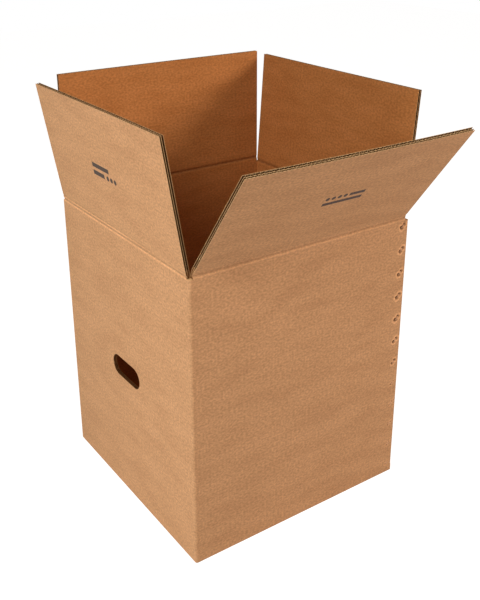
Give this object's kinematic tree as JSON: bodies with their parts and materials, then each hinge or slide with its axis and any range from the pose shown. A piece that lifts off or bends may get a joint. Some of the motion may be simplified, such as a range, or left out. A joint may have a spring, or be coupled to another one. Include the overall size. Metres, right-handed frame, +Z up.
{
  "type": "corrugated box with hand holes",
  "caption": "Tall square removal carton of double-wall corrugated board, with a hand hole in each end, a stitched joint, and top flaps standing open on their creases.",
  "frame": {"origin": "middle of the underside, on the tape under the bottom seam", "axes": "+Z up, towards the open top; -Y towards the panel with the stitched joint; -X and +X towards the end panels with the hand holes"},
  "size_m": [0.5129, 0.5913, 0.7725],
  "materials": {
    "kraft_board": "matte",
    "stitching_wire": "satin",
    "packing_tape": "gloss"
  },
  "bodies": {
    "box": {"box_body": "kraft_board", "bottom_tape": "packing_tape", "stitch_01": "stitching_wire", "stitch_02": "stitching_wire", "stitch_03": "stitching_wire", "stitch_04": "stitching_wire", "stitch_05": "stitching_wire", "stitch_06": "stitching_wire", "stitch_07": "stitching_wire", "stitch_08": "stitching_wire", "stitch_09": "stitching_wire", "stitch_10": "stitching_wire", "stitch_11": "stitching_wire", "stitch_12": "stitching_wire"},
    "front_flap": {"front_top_flap": "kraft_board"},
    "right_flap": {"right_top_flap": "kraft_board"},
    "back_flap": {"back_top_flap": "kraft_board"},
    "left_flap": {"left_top_flap": "kraft_board"}
  },
  "joints": [
    {"name": "front_flap_crease", "type": "hinge", "parent": "box", "child": "front_flap", "pos_m": [0, -0.2285, 0.5445], "axis": [1, 0, 0], "range_deg": [-126.1, 133.9]},
    {"name": "right_flap_crease", "type": "hinge", "parent": "box", "child": "right_flap", "pos_m": [0.2285, 0, 0.537], "axis": [0, 1, 0], "range_deg": [-94.5, 165.5]},
    {"name": "back_flap_crease", "type": "hinge", "parent": "box", "child": "back_flap", "pos_m": [0, 0.2285, 0.5445], "axis": [-1, 0, 0], "range_deg": [-90, 170]},
    {"name": "left_flap_crease", "type": "hinge", "parent": "box", "child": "left_flap", "pos_m": [-0.2285, 0, 0.537], "axis": [0, -1, 0], "range_deg": [-99.6, 160.4]}
  ]
}
